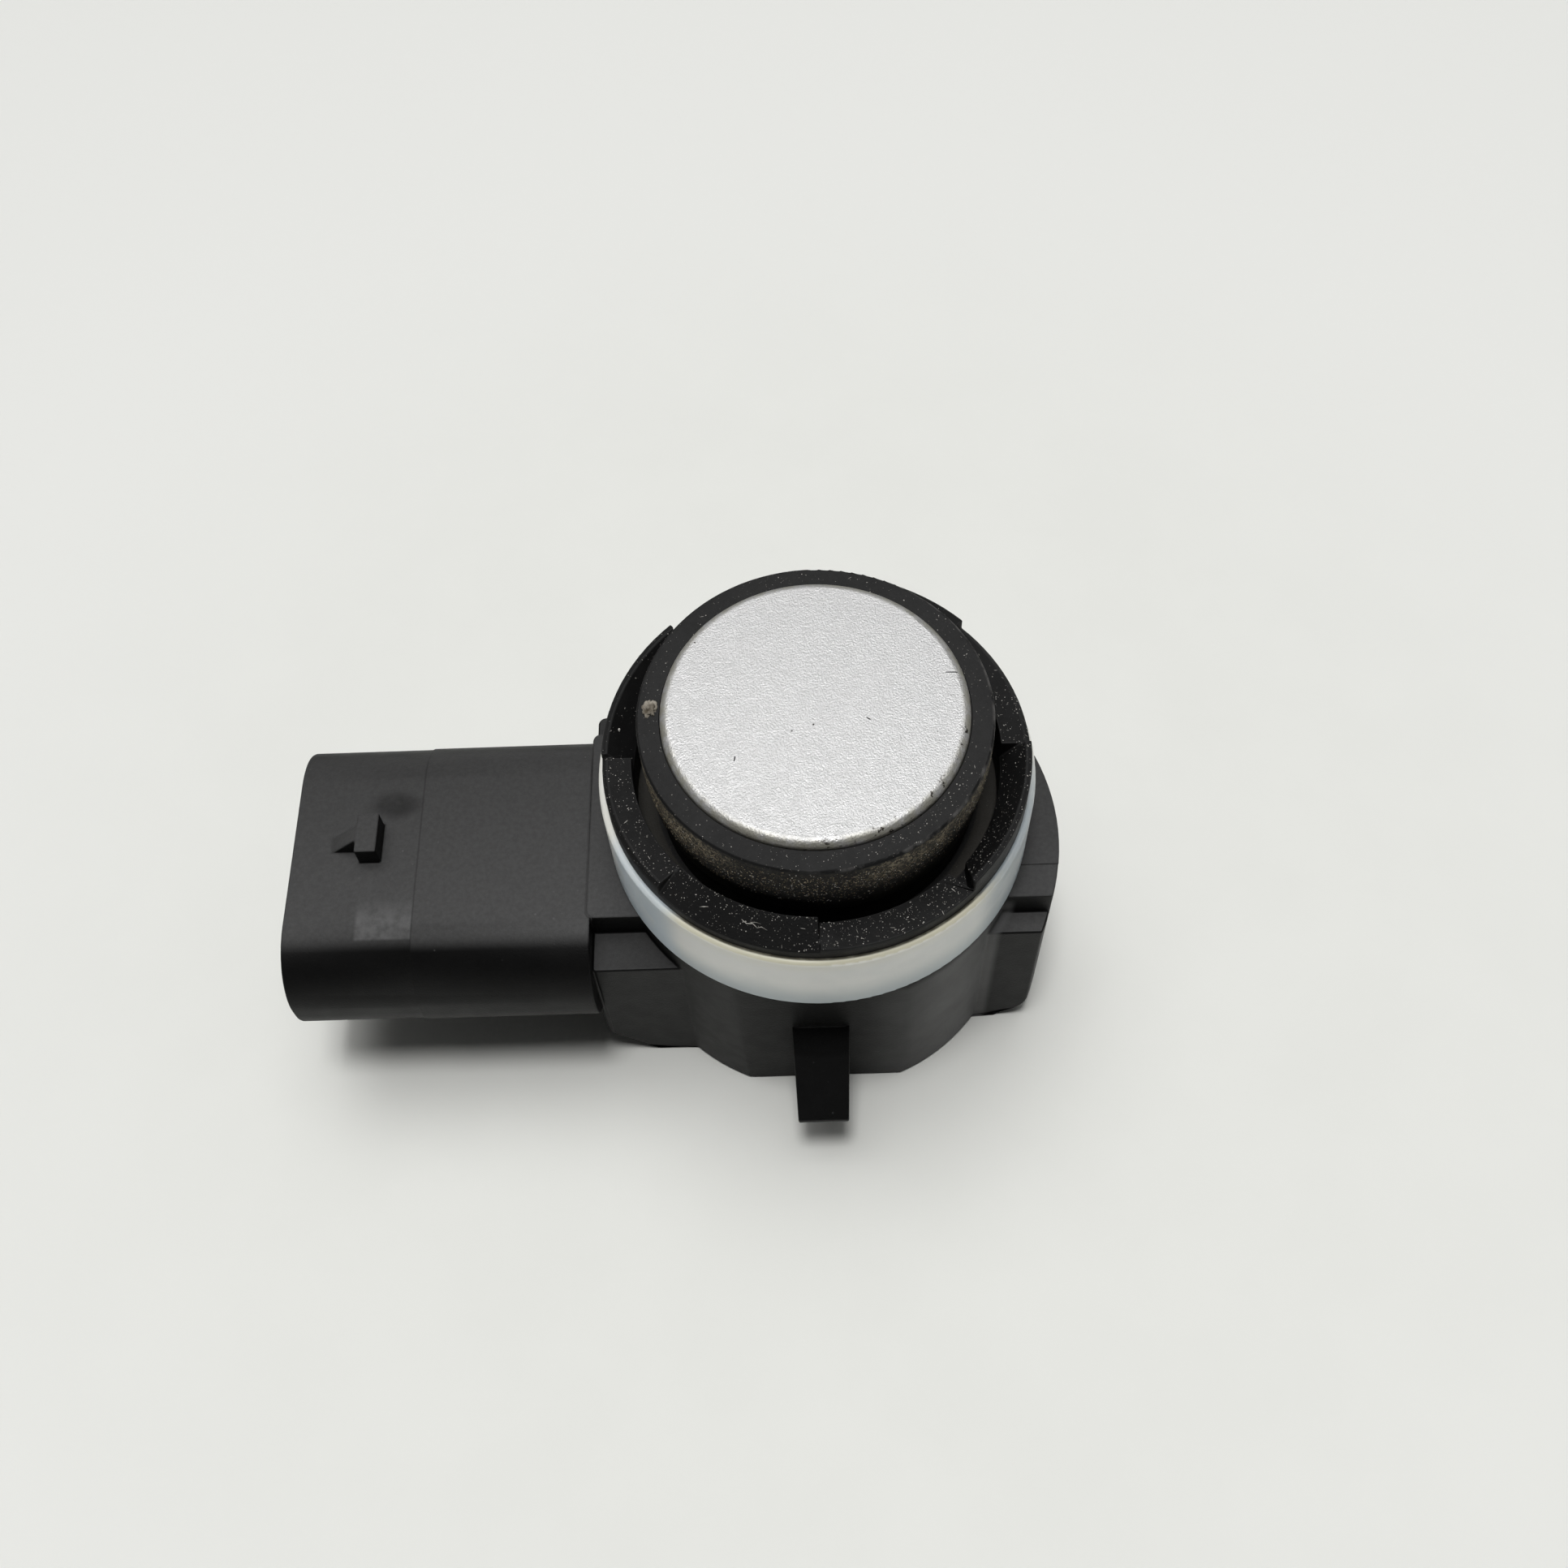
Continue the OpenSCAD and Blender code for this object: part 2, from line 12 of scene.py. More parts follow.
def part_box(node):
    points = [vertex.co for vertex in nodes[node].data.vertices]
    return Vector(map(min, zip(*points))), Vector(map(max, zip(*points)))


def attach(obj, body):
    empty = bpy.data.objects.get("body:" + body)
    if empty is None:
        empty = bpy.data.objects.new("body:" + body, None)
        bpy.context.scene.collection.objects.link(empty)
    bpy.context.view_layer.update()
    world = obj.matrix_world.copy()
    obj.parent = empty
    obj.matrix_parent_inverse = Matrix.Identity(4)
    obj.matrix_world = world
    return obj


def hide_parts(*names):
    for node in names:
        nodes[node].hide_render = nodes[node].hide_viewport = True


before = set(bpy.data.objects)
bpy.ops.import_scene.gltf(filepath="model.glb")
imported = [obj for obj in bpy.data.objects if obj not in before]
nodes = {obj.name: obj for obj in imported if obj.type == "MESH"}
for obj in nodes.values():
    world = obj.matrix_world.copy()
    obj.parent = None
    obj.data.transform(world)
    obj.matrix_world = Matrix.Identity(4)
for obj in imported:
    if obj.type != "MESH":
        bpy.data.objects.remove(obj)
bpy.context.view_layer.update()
scene = bpy.context.scene
MM = 0.001


class Finish:
    """A node material under construction; places are in millimetres of the part's frame."""

    def __init__(self, name):
        self.material = bpy.data.materials.new(name)
        self.material.use_nodes = True
        self.tree = self.material.node_tree
        self.surface = self.tree.nodes["Principled BSDF"]
        coords = self.add("ShaderNodeTexCoord", {})
        self.place = self.add("ShaderNodeMapping", {"Vector": coords.outputs["Object"],
                                                    "Scale": (1000, 1000, 1000)}).outputs[0]

    def add(self, kind, inputs, **settings):
        node = self.tree.nodes.new(kind)
        for key, value in settings.items():
            setattr(node, key, value)
        for key, value in inputs.items():
            self.put(node.inputs[key], value)
        return node

    def put(self, socket, value):
        if isinstance(value, bpy.types.NodeSocket):
            self.tree.links.new(value, socket)
        else:
            socket.default_value = value

    def set(self, **values):
        """Sets sockets of the surface, with _ for a space in their names."""
        for key, value in values.items():
            self.put(self.surface.inputs[key.replace("_", " ")], value)
        return self

    def noise(self, size, detail=3, rough=0.55, stretch=None):
        """Cloudy value with features of about size mm."""
        place = self.place
        if stretch:
            place = self.add("ShaderNodeMapping", {"Vector": place, "Scale": stretch}).outputs[0]
        return self.add("ShaderNodeTexNoise", {"Vector": place, "Scale": 1 / size, "Detail": detail,
                                               "Roughness": rough}).outputs[0]

    def cells(self, size):
        """Distance to the nearest of scattered points, about size mm apart."""
        return self.add("ShaderNodeTexVoronoi", {"Vector": self.place, "Scale": 1 / size}).outputs[0]

    def span(self, value, low, high, to_low=0.0, to_high=1.0):
        """Maps low..high of a value to another range, with soft ends."""
        return self.add("ShaderNodeMapRange", {"Value": value, "From Min": low, "From Max": high,
                                               "To Min": to_low, "To Max": to_high},
                        interpolation_type="SMOOTHSTEP").outputs[0]

    def math(self, operation, a, b=0.0):
        node = self.add("ShaderNodeMath", {}, operation=operation)
        self.put(node.inputs[0], a)
        self.put(node.inputs[1], b)
        return node.outputs[0]

    def both(self, *masks):
        """Product of masks."""
        result = masks[0]
        for mask in masks[1:]:
            result = self.math("MULTIPLY", result, mask)
        return result

    def vector(self, operation, a, b=None, output=0):
        node = self.add("ShaderNodeVectorMath", {}, operation=operation)
        self.put(node.inputs[0], a)
        if b is not None:
            self.put(node.inputs[1], b)
        return node.outputs[output]

    def tint(self, factor, a, b):
        """Colour a where the factor is 0 and b where it is 1."""
        node = self.add("ShaderNodeMix", {}, data_type="RGBA")
        for index, value in ((0, factor), (6, a), (7, b)):
            self.put(node.inputs[index], (*value, 1) if isinstance(value, tuple) else value)
        return node.outputs[2]

    def axes(self):
        return self.add("ShaderNodeSeparateXYZ", {"Vector": self.place}).outputs

    def height(self):
        return self.axes()[2]

    def flat(self):
        """Place with no height."""
        return self.vector("MULTIPLY", self.place, (1, 1, 0))

    def radius(self):
        """Distance from the head's axis."""
        return self.vector("LENGTH", self.flat(), output=1)

    def facing(self, azimuth, inner, outer):
        """1 within inner degrees of a side of the head's axis, 0 from outer degrees on."""
        turn = math.radians(azimuth)
        along = self.vector("DOT_PRODUCT", self.vector("NORMALIZE", self.flat()),
                            (math.cos(turn), math.sin(turn), 0), 1)
        return self.span(along, math.cos(math.radians(outer)), math.cos(math.radians(inner)))

    def near(self, middle, reach, core=0.35):
        """1 at the middle of an ellipsoid, 0 from its skin on; reach holds its half sizes."""
        off = self.vector("MULTIPLY", self.vector("SUBTRACT", self.place, middle),
                          tuple(1 / r for r in reach))
        return self.span(self.vector("LENGTH", off, output=1), 1, core)

    def stroke(self, middle, length, width, angle):
        """Straight mark on a level face."""
        turn = math.radians(angle)
        off = self.vector("SUBTRACT", self.place, middle)
        along = self.vector("DOT_PRODUCT", off, (math.cos(turn), math.sin(turn), 0), 1)
        across = self.vector("DOT_PRODUCT", off, (-math.sin(turn), math.cos(turn), 0), 1)
        return self.both(self.span(self.math("ABSOLUTE", along), length / 2, length / 3),
                         self.span(self.math("ABSOLUTE", across), width, width / 3))

    def upward(self, low, high):
        """How far the surface faces up."""
        normal = self.add("ShaderNodeNewGeometry", {}).outputs["Normal"]
        rise = self.add("ShaderNodeSeparateXYZ", {"Vector": normal}).outputs[2]
        return self.span(rise, low, high)

    def bump(self, height, depth):
        """Relief whose height value of 1 stands depth mm high."""
        normal = self.add("ShaderNodeBump", {"Height": height, "Distance": depth * MM}).outputs[0]
        return self.set(Normal=normal)


def grey(value, warm=0.0):
    """A grey with a share of red added and of blue taken off."""
    return (value * (1 + warm), value, value * (1 - warm))


class Plastic(Finish):
    """Moulded black plastic or rubber: fine grain, uneven gloss and dust where dust() lays it."""

    def __init__(self, name, dark, light, rough, shine=0.5, grain=0.012, uneven=(-0.05, 0.07)):
        super().__init__(name)
        self.gleam = shine
        self.body = self.tint(self.span(self.noise(3.5, 4), 0.35, 0.7), dark, light)
        self.gloss = self.span(self.noise(1.1, 4), 0.3, 0.7, rough + uneven[0], rough + uneven[1])
        self.set(IOR=1.55).bump(self.noise(0.09, 2), grain)

    def dust(self, film, *masks, steep=0.86, level=0.985):
        """A dull film on faces whose normal rises by more than steep, and whole from level on."""
        where = self.both(self.upward(steep, level), *masks)
        haze = self.span(self.noise(0.25, 5, 0.7), 0.2, 0.8, film * 0.75, film)
        self.paint(self.both(where, haze), grey(0.16, 0.005))
        self.gleam = self.span(where, 0, 1, self.gleam, self.gleam * 0.5)
        return self

    def paint(self, mask, colour):
        """Lays a colour over the body where the mask is 1."""
        self.body = self.tint(mask, self.body, colour)

    def done(self):
        return self.set(Base_Color=self.body, Roughness=self.gloss, Specular_IOR_Level=self.gleam).material


def housing_finish():
    """Black plastic with dust and painted sheen on top, painted shade on the left ledge, a worn rectangle
    and a dark patch on the socket, a painted shade line at the socket's step and a painted reflection on
    the right side.
    """
    f = Plastic("housing_plastic", grey(0.002), grey(0.0032), 0.5, shine=0.13, uneven=(-0.01, 0.03))
    x, y, z = f.axes()
    # The grey film that dust() lays here is dust and also painted sheen that stands for the tops'
    # reflection
    # The film reaches further down on the socket's far side than on its near side
    raised = f.math("ADD", z, f.span(y, 3, 6.4, 0, 0.7))
    top = f.span(raised, 12.76, 13.14)
    # On the wings' ledges the film is weaker on the left ledge: painted shade under the milky ring
    ledges = f.both(f.span(z, 12.3, 11.8), f.upward(0.93, 0.985), f.span(x, 4, 8, 0.55, 1.0))
    f.dust(0.38, f.span(y, 8, -7, 0.75, 1.12), f.math("MAXIMUM", top, ledges), steep=0.3, level=0.75)
    barrel = f.span(f.radius(), 12, 11.6)
    front = f.both(f.facing(274, 18, 34), barrel)
    f.gleam = f.both(f.gleam, f.span(front, 0, 1, 1.0, 0.68))
    edges = f.both(f.span(x, -25.15, -24.9), f.span(x, -21.98, -22.04), f.span(y, -6.95, -6.75))
    scuff = f.both(edges, f.span(y, -4.0, -6.3), f.span(f.noise(0.5, 4), 0.25, 0.7, 0.35, 1.0),
                   f.upward(0.5, 0.8))
    f.paint(f.both(scuff, 0.75), grey(0.13))
    # A soft dark patch on the socket's top near the latch nose
    dark_patch = f.both(f.near((-23.5, 1.3, 13.2), (1.9, 1.15, 1), 0.3),
                   f.span(f.noise(0.9, 3), 0.2, 0.55, 0.4, 1.0))
    f.paint(f.both(dark_patch, 0.55), grey(0.004))
    # Painted shade: a faint dark line along the step of the socket's sleeve
    from_step = f.math("ABSOLUTE", f.math("ADD", x, 22.0))
    f.paint(f.both(f.span(from_step, 0.09, 0.02), f.span(z, 9, 12), 0.3), grey(0.004))
    # Painted reflection: the body's right side is painted lighter grey, standing for the bright floor it
    # mirrors
    side = f.both(f.facing(318, 2, 38), barrel, f.span(z, 13, 12))
    f.paint(f.both(side, f.span(f.noise(3, 3), 0.3, 0.7, 0.8, 1.0)), grey(0.10))
    flecks = f.both(f.span(f.cells(0.7), 0.1, 0.05), f.span(f.noise(3, 2), 0.5, 0.65), f.upward(0.7, 0.95))
    f.paint(f.both(flecks, 0.6), grey(0.11))
    return f.done()


def crown_finish(name, film, light):
    """Black plastic with a film of dust, which is thin on the sloping ledge at the front."""
    f = Plastic(name, grey(0.0018), grey(light), 0.55, shine=0.15, grain=0.016)
    f.dust(film, f.span(f.facing(253, 12, 28), 0, 1, 1.0, 0.12), steep=-0.1)
    fine = f.both(f.span(f.cells(0.2), 0.18, 0.07), f.span(f.noise(1.4, 3), 0.45, 0.65), f.upward(0.3, 0.8))
    f.paint(f.both(fine, 0.3), grey(0.12, 0.05))
    return f.done()


def rubber_finish():
    """Black rubber with fine dust on top, brown grime on the front of its wall and a worn right edge."""
    f = Plastic("collar_rubber", grey(0.003), grey(0.0055), 0.62, shine=0.15, grain=0.02).dust(0.14)
    radius, height = f.radius(), f.height()
    fine = f.both(f.span(f.cells(0.2), 0.18, 0.08), f.span(f.noise(1.6, 3), 0.45, 0.65))
    f.paint(f.both(fine, 0.5), grey(0.15, 0.08))
    wall = f.both(f.span(height, 23.3, 23.0), f.span(radius, 8.6, 8.7), f.facing(270, 80, 125),
                  f.span(f.facing(262, 8, 34), 0, 1, 1.0, 0.12))
    film = f.math("ADD", f.span(height, 21.2, 22.8, 0.05, 0.2), f.span(height, 20.2, 19.2, 0, 0.15))
    f.paint(f.both(wall, film), (0.10, 0.09, 0.07))
    grime = f.both(wall, f.span(height, 20.6, 22.7), f.span(f.noise(0.2, 5, 0.8), 0.47, 0.58),
                   f.span(f.noise(1.7, 2), 0.3, 0.55, 0.25, 1.0))
    f.paint(f.both(grime, 0.9), (0.25, 0.215, 0.15))
    worn = f.both(f.span(radius, 8.82, 8.92), f.span(height, 23.2, 23.3), f.facing(345, 50, 90))
    f.paint(f.both(worn, f.span(f.noise(0.8, 4), 0.4, 0.65)), grey(0.08, 0.03))
    return f.done()


def silicone_finish():
    """Milky silicone with painted shade that makes it darker and bluer towards its foot and on its sides,
    with a grimy line along the front of its top.
    """
    f = Finish("milky_silicone")
    height = f.height()
    body = f.tint(f.span(f.noise(4.5, 3), 0.4, 0.65), (0.81, 0.825, 0.80), (0.875, 0.88, 0.845))
    # Painted shade: darker and bluer from 16 mm down to the foot
    body = f.tint(f.both(f.span(height, 16.0, 13.2), 0.95), body, (0.42, 0.48, 0.505))
    # Painted shade: a dark bluish line at the foot, where the ring sits on the housing
    body = f.tint(f.span(height, 13.55, 13.3), body, (0.26, 0.31, 0.38))
    body = f.tint(f.both(f.span(height, 17, 18.2), 0.5), body, (0.80, 0.79, 0.68))
    front = f.both(f.facing(276, 40, 75), f.span(height, 18.1, 18.2))
    body = f.tint(f.both(front, 0.75), body, (0.62, 0.59, 0.42))
    grimy = f.both(front, f.span(f.radius(), 11.32, 11.2), f.span(f.noise(1.1, 3), 0.1, 0.55, 0.55, 1.0))
    body = f.tint(grimy, body, (0.05, 0.045, 0.025))
    # Painted shade with a bluish cast on the ring's left and right sides
    ragged = f.span(f.noise(2.2, 2), 0.3, 0.6, 0.7, 1.0)
    body = f.tint(f.both(f.facing(215, 6, 17), ragged, 0.85), body, (0.60, 0.69, 0.76))
    body = f.tint(f.both(f.facing(338, 8, 26), ragged, 0.85), body, (0.38, 0.44, 0.48))
    f.set(Base_Color=body, Roughness=f.span(f.noise(1.2, 4), 0.3, 0.7, 0.36, 0.5),
          Subsurface_Weight=0.35, Subsurface_Radius=(0.9, 0.95, 0.9), Subsurface_Scale=MM)
    return f.bump(f.noise(0.5, 3), 0.01).material


def silver_finish():
    """Silver paint with coarse sparkle, a dull and dirty rim, specks and three short marks."""
    f = Finish("silver_paint")
    radius = f.radius()
    body = f.tint(f.span(f.noise(0.1, 3), 0.35, 0.7), grey(0.495, 0.004), grey(0.585, 0.004))
    body = f.tint(f.span(f.cells(0.08), 0.3, 0.08, 0, 0.45), body, grey(0.82, 0.006))
    rim = f.both(f.span(radius, 7.25, 7.7), f.span(f.noise(0.7, 4), 0.3, 0.6))
    body = f.tint(f.both(rim, 0.75), body, (0.40, 0.385, 0.31))
    dirt = f.both(f.span(radius, 7.1, 7.6), f.facing(320, 35, 75), f.span(f.noise(0.3, 3), 0.6, 0.68))
    body = f.tint(dirt, body, grey(0.03, 0.2))
    specks = f.both(f.span(f.cells(1.3), 0.05, 0.03), f.span(f.noise(4, 2), 0.5, 0.6))
    body = f.tint(specks, body, grey(0.05, 0.1))
    for x, y, length, angle in ((6.92, 1.81, 0.7, -2), (-4.02, -2.86, 0.35, 80), (2.63, -0.77, 0.3, -35)):
        body = f.tint(f.stroke((x, y, 23.9), length, 0.05, angle), body, grey(0.03))
    f.set(Base_Color=body, Metallic=0.8, Roughness=f.span(f.noise(0.4, 4), 0.3, 0.7, 0.45, 0.55))
    return f.bump(f.noise(0.09, 2, 0.6), 0.028).material


def speckled(name, dark, light, rough, relief=0.01):
    """A dull material between two colours."""
    f = Finish(name)
    f.set(Base_Color=f.tint(f.span(f.noise(0.6, 5), 0.35, 0.65), dark, light),
          Roughness=f.span(f.noise(0.9, 3), 0.3, 0.7, rough - 0.06, rough + 0.06))
    return f.bump(f.noise(0.12, 3), relief).material


def metal(name, dark, light, rough):
    """Bare metal with faint streaks along X."""
    f = Finish(name)
    f.set(Base_Color=f.tint(f.span(f.noise(0.8, 4), 0.35, 0.65), dark, light), Metallic=1.0,
          Roughness=f.span(f.noise(0.5, 4, stretch=(6, 1, 1)), 0.3, 0.7, rough - 0.06, rough + 0.08))
    return f.bump(f.noise(0.1, 2), 0.004).material


finishes = {
    "housing_plastic": housing_finish(),
    "crown_plastic": crown_finish("crown_plastic", 0.058, 0.003),
    "collar_rubber": rubber_finish(),
    "milky_silicone": silicone_finish(),
    "silver_paint": silver_finish(),
    "cover_plastic": Plastic("cover_plastic", grey(0.004), grey(0.007), 0.5).dust(0.02).done(),
    "carrier_plastic": Plastic("carrier_plastic", grey(0.10, 0.1), grey(0.14, 0.1), 0.45).done(),
    "chip_plastic": Plastic("chip_plastic", grey(0.012), grey(0.02), 0.6).done(),
    "piezo_ceramic": speckled("piezo_ceramic", (0.52, 0.45, 0.33), (0.62, 0.55, 0.42), 0.55),
    "damping_foam": speckled("damping_foam", (0.28, 0.27, 0.25), (0.42, 0.41, 0.38), 0.9, relief=0.08),
    "red_wire": speckled("red_wire", (0.42, 0.02, 0.015), (0.5, 0.035, 0.025), 0.4),
    "black_wire": speckled("black_wire", grey(0.012), grey(0.022), 0.4),
    "contact_brass": metal("contact_brass", (0.72, 0.53, 0.22), (0.80, 0.62, 0.30), 0.28),
    "board_green": speckled("board_green", (0.01, 0.10, 0.035), (0.016, 0.14, 0.05), 0.35),
    "ferrite": speckled("ferrite", grey(0.034, 0.03), grey(0.058, 0.03), 0.65),
    "can_aluminium": metal("can_aluminium", grey(0.74), grey(0.82), 0.32),
    "chip_ceramic": speckled("chip_ceramic", (0.36, 0.26, 0.16), (0.44, 0.33, 0.21), 0.45),
    "resistor_ceramic": speckled("resistor_ceramic", grey(0.02), grey(0.05), 0.45),
    "tinned_metal": metal("tinned_metal", grey(0.66), grey(0.78), 0.25),
}
for node in nodes.values():
    for index, old in enumerate(list(node.data.materials)):
        node.material_slots[index].link = "OBJECT"
        node.material_slots[index].material = finishes[old.name]


def new_piece(name, form, slot, *materials):
    """Turns a bmesh into a piece that rides on the part."""
    mesh = bpy.data.meshes.new(name)
    form.to_mesh(mesh)
    form.free()
    mesh.polygons.foreach_set("use_smooth", [True] * len(mesh.polygons))
    for material in materials:
        mesh.materials.append(material)
    piece = bpy.data.objects.new(name, mesh)
    scene.collection.objects.link(piece)
    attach(piece, "root")
    return piece


def softened(node, width, edge_finish, keep_sharp=(), angle=28):
    """A copy of a CAD node with its sharp edges rounded, which stands for the node.

    Edges inside the keep_sharp boxes, [low, high] in mm, are steps too small to round."""
    source = nodes[node]
    slot = source.data.materials[0].name
    form = bmesh.new()
    form.from_mesh(source.data)
    bmesh.ops.remove_doubles(form, verts=form.verts, dist=1e-6)
    bmesh.ops.dissolve_limit(form, angle_limit=math.radians(0.6), verts=form.verts, edges=form.edges)

    def kept(edge):
        middle = (edge.verts[0].co + edge.verts[1].co) / 2 / MM
        return any(all(a <= c <= b for a, c, b in zip(low, middle, high)) for low, high in keep_sharp)

    sharp = [edge for edge in form.edges
             if edge.is_manifold and edge.calc_face_angle(0) > math.radians(angle) and not kept(edge)]
    hard = BVHTree.FromBMesh(form)
    bmesh.ops.bevel(form, geom=sharp, offset=width * MM, offset_type="OFFSET", segments=2,
                    profile=0.5, affect="EDGES", clamp_overlap=False, material=1)
    low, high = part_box(node)
    for vert in form.verts:
        point, _, _, off = hard.find_nearest(vert.co)
        if off > width * MM:
            vert.co = point
        vert.co = [min(max(c, a), b) for c, a, b in zip(vert.co, low, high)]
    piece = new_piece(node + "_soft", form, slot, finishes[slot], edge_finish)
    piece.modifiers.new("normals", "WEIGHTED_NORMAL").keep_sharp = True
    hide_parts(node)
    return piece


def wedge_skin():
    """The latch wedge at its full width, over the housing's, which is a little narrow."""
    middle = -0.2
    root_half, tip_half = 1.59, 1.4
    inside, wall, tip = -10.2, -10.4, -14.745
    under, tip_top, root_top = 4.28, 4.67, 7.62
    outline = ((inside, under, root_half), (tip, under, tip_half), (tip, tip_top, tip_half),
               (wall, root_top, root_half), (inside, root_top, root_half))
    form = bmesh.new()
    rows = [[form.verts.new(Vector((middle + side * half, y, z)) * MM) for y, z, half in outline]
            for side in (1, -1)]
    form.faces.new(rows[0])
    form.faces.new(rows[1][::-1])
    for index, start in enumerate(rows[0]):
        following = (index + 1) % len(rows[0])
        form.faces.new((start, rows[1][index], rows[1][following], rows[0][following]))
    bmesh.ops.recalc_face_normals(form, faces=form.faces)
    bmesh.ops.bevel(form, geom=list(form.edges), offset=0.1 * MM, offset_type="OFFSET", segments=2,
                    profile=0.5, affect="EDGES")
    piece = new_piece("wedge_skin", form, "housing_plastic", finishes["housing_plastic"])
    piece.modifiers.new("normals", "WEIGHTED_NORMAL").keep_sharp = True


sleeve_step = ((-22.3, -20, 0), (-21.7, 20, 20))
right_pad = ((9, -4, 13), (14, 4, 13.5))
softened("housing", 0.12, finishes["housing_plastic"], [sleeve_step, right_pad])
wedge_skin()
crown = softened("crown_ring", 0.07, crown_finish("crown_edges", 0.14, 0.006))

# Dust falls straight down from a height in mm over the part
DOWN = (0, 0, -1)
ABOVE = 40


class Dust:
    """Crumbs scattered on what the rays hit, as one mesh."""

    CROWN, COLLAR = 0, 1

    def __init__(self, seed):
        self.dice = random.Random(seed)
        self.form = bmesh.new()
        self.trees = []
        for piece in (crown, nodes["decoupling_ring"]):
            shape = bmesh.new()
            shape.from_mesh(piece.data)
            self.trees.append(BVHTree.FromBMesh(shape))
            shape.free()
        ball = bmesh.new()
        bmesh.ops.create_icosphere(ball, subdivisions=1, radius=0.5)
        ball.verts.index_update()
        self.corners = [vert.co.copy() for vert in ball.verts]
        self.sides = [[vert.index for vert in face.verts] for face in ball.faces]
        ball.free()

    def land(self, start, ahead):
        """Nearest hit of a ray in mm, as place and normal, and the index of the piece that it hit."""
        best = None
        for index, tree in enumerate(self.trees):
            point, normal, _, far = tree.ray_cast(Vector(start) * MM, Vector(ahead).normalized())
            if point is not None and (best is None or far < best[3]):
                best = (point, normal, index, far)
        return best[:3] if best else (None, None, None)

    def crumb(self, point, normal, size, longer=1.0):
        """A flat crumb of about size mm that lies on a surface."""
        spin = Matrix.Rotation(self.dice.uniform(0, 6.3), 3, "Z")
        turn = normal.to_track_quat("Z", "Y").to_matrix() @ spin
        thin = 1 / math.sqrt(longer)
        made = []
        for corner in self.corners:
            local = corner * size * MM * (1 + self.dice.uniform(-0.25, 0.25))
            off = Vector((local.x * longer, local.y * thin, local.z * 0.55 * thin))
            made.append(self.form.verts.new(point + turn @ off))
        for side in self.sides:
            self.form.faces.new([made[index] for index in side])

    def sprinkle(self, count, radii, azimuths, sizes, on, steep=0.3, fibres=0.08):
        """Crumbs that fall straight down on a sector of the head."""
        for _ in range(count):
            turn = math.radians(self.dice.uniform(*azimuths))
            far = self.dice.uniform(*radii)
            point, normal, index = self.land((far * math.cos(turn), far * math.sin(turn), ABOVE), DOWN)
            size = sizes[0] + (sizes[1] - sizes[0]) * self.dice.random() ** 2.5
            if index == on and normal.z > steep:
                longer = 4.0 if self.dice.random() < fibres else self.dice.uniform(1, 1.6)
                self.crumb(point, normal, size, longer)

    def cling(self, count, heights, azimuths, sizes):
        """Crumbs that stick to the collar's wall; heights and azimuths are low, high and most likely."""
        outside = 10.5
        for _ in range(count):
            turn = math.radians(self.dice.triangular(*azimuths))
            out = Vector((math.cos(turn), math.sin(turn), 0))
            level = Vector((0, 0, self.dice.triangular(*heights)))
            point, normal, index = self.land(out * outside + level, -out)
            if index == self.COLLAR:
                self.crumb(point, normal, self.dice.uniform(*sizes), self.dice.uniform(1, 1.5))


def fibre(name, points, width, material, slot):
    """A thin hair through points in mm."""
    sides = 6
    last = len(points) - 1
    form = bmesh.new()
    rings = []
    for index, point in enumerate(points):
        ahead = (points[min(index + 1, last)] - points[max(index - 1, 0)]).normalized()
        turn = ahead.to_track_quat("Z", "Y").to_matrix()
        thick = width / 2 * (0.35 if index in (0, last) else 1)
        ring = []
        for step in range(sides):
            around = math.tau * step / sides
            off = Vector((thick * math.cos(around), thick * math.sin(around), 0))
            ring.append(form.verts.new((point + turn @ off) * MM))
        rings.append(ring)
    for low, high in zip(rings, rings[1:]):
        for step in range(sides):
            following = (step + 1) % sides
            form.faces.new((low[step], low[following], high[following], high[step]))
    form.faces.new(rings[0][::-1])
    form.faces.new(rings[-1])
    new_piece(name, form, slot, material)


